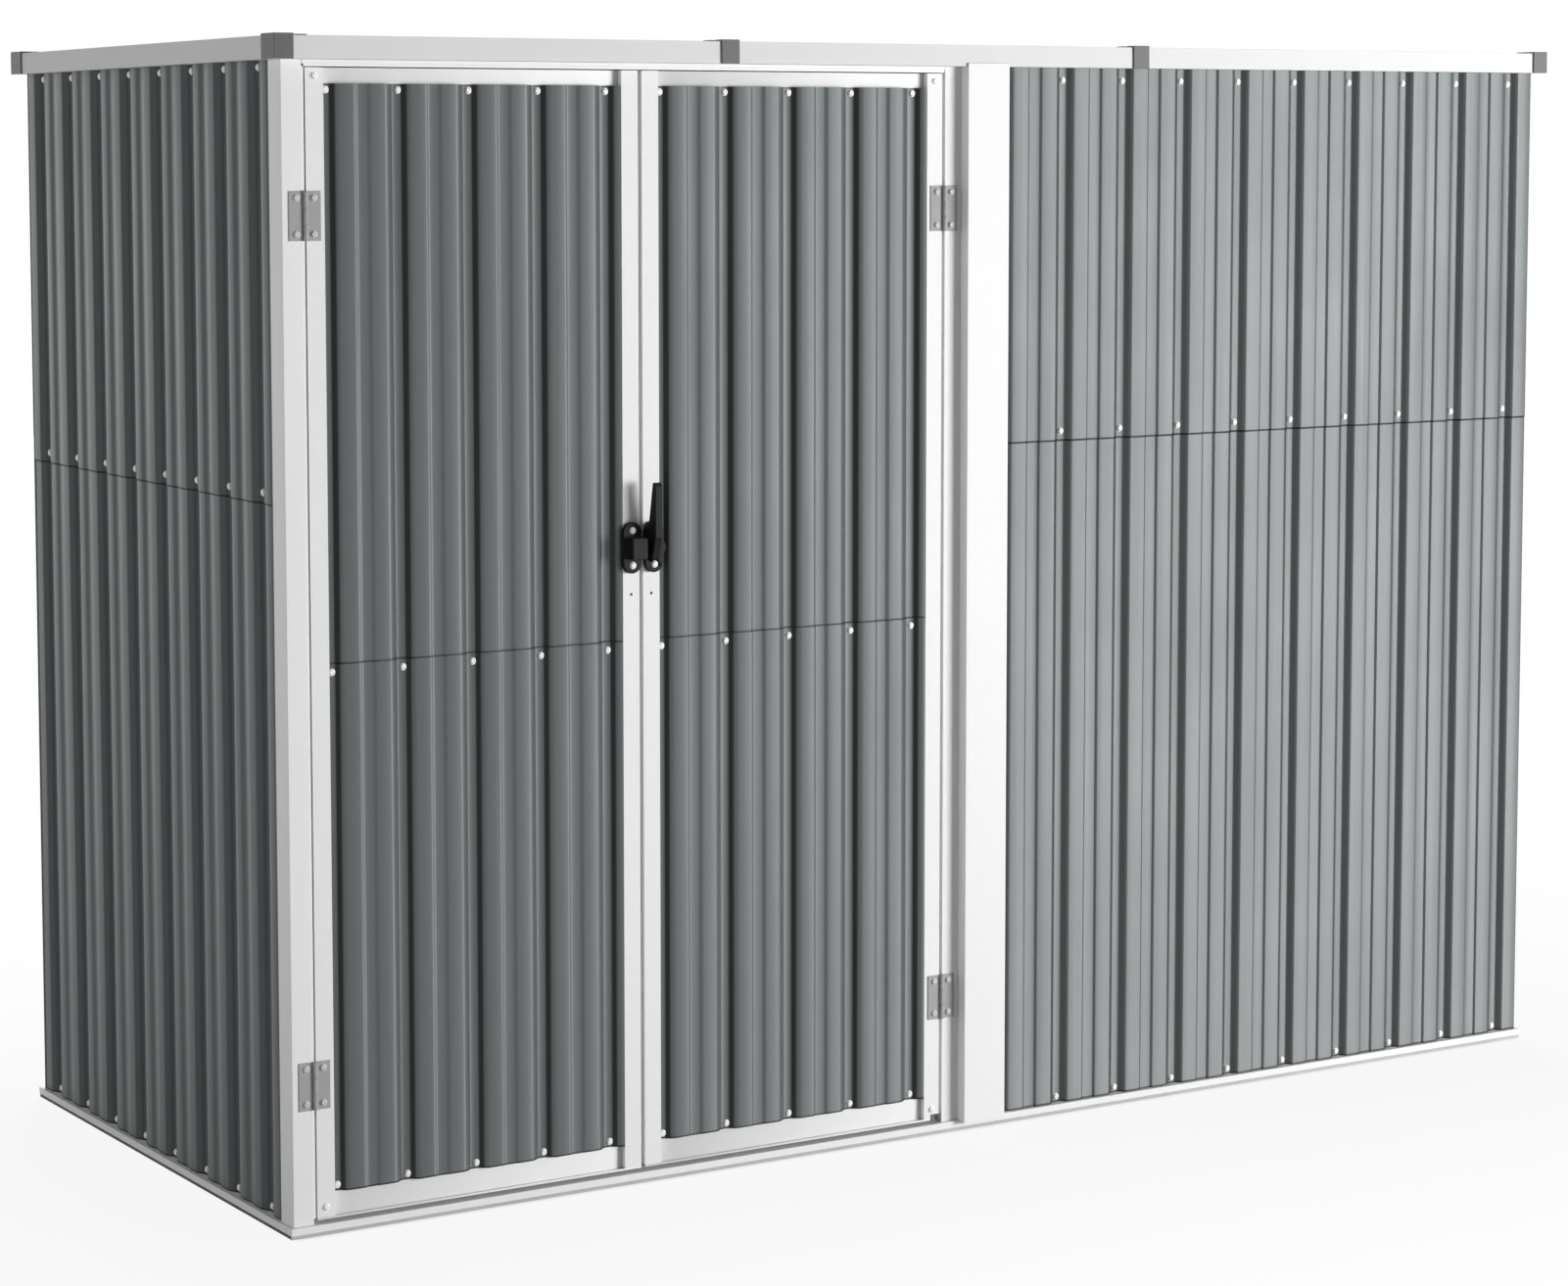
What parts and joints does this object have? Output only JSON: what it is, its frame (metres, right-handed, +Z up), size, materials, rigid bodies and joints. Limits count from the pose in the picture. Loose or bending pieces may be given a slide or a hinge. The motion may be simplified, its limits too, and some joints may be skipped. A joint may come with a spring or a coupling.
{
  "type": "metal storage shed",
  "caption": "Low rectangular storage shed of lapped corrugated steel sheets on a light frame, with a nearly flat roof and a pair of hinged doors with a lever latch.",
  "frame": {"origin": "on the ground under the middle of the whole shed", "axes": "+X along the front to the right as seen from outside, +Y from the front to the back, +Z up"},
  "size_m": [2.2352, 0.9638, 1.6148],
  "materials": {
    "grey_sheet": "satin grey coil coating on rolled steel sheet",
    "white_trim": "satin white coating on folded steel",
    "frame_steel": "galvanised folded steel",
    "cap_plastic": "matt dark grey moulded plastic",
    "hinge_steel": "zinc plated steel",
    "latch_plastic": "satin black moulded plastic"
  },
  "bodies": {
    "shed": {"base_front_rail": "white_trim", "base_back_rail": "white_trim", "base_side_rails": "white_trim", "front_left_post": "white_trim", "inner_corner_posts": "frame_steel", "door_jamb": "white_trim", "wide_post": "white_trim", "door_header": "white_trim", "left_wall_lower": "grey_sheet", "left_wall_upper": "grey_sheet", "right_wall_lower": "grey_sheet", "right_wall_upper": "grey_sheet", "back_wall_lower": "grey_sheet", "back_wall_upper": "grey_sheet", "front_wall_lower": "grey_sheet", "front_wall_upper": "grey_sheet", "wall_mid_rails": "frame_steel", "wall_top_rails": "frame_steel", "roof_sheet_left": "grey_sheet", "roof_sheet_middle": "grey_sheet", "roof_sheet_right": "grey_sheet", "roof_beams": "frame_steel", "roof_rails_front": "white_trim", "roof_rails_back": "white_trim", "roof_rails_side": "white_trim", "roof_corner_caps": "cap_plastic", "roof_joint_caps": "cap_plastic", "left_hinge_plates": "hinge_steel", "right_hinge_plates": "hinge_steel"},
    "left_door": {"left_door_stiles": "white_trim", "left_door_rails": "white_trim", "left_door_lower_sheet": "grey_sheet", "left_door_upper_sheet": "grey_sheet", "left_door_hinges": "hinge_steel", "left_door_keeper": "latch_plastic"},
    "right_door": {"right_door_stiles": "white_trim", "right_door_rails": "white_trim", "right_door_lower_sheet": "grey_sheet", "right_door_upper_sheet": "grey_sheet", "right_door_hinges": "hinge_steel", "right_door_latch": "latch_plastic"}
  },
  "joints": [
    {"name": "left_door_swing", "type": "hinge", "parent": "shed", "child": "left_door", "pos_m": [-1.0675, -0.45115, 0.8], "axis": [0, 0, -1], "range_deg": [0, 120]},
    {"name": "right_door_swing", "type": "hinge", "parent": "shed", "child": "right_door", "pos_m": [-0.0465, -0.45115, 0.8], "axis": [0, 0, 1], "range_deg": [0, 120]}
  ]
}
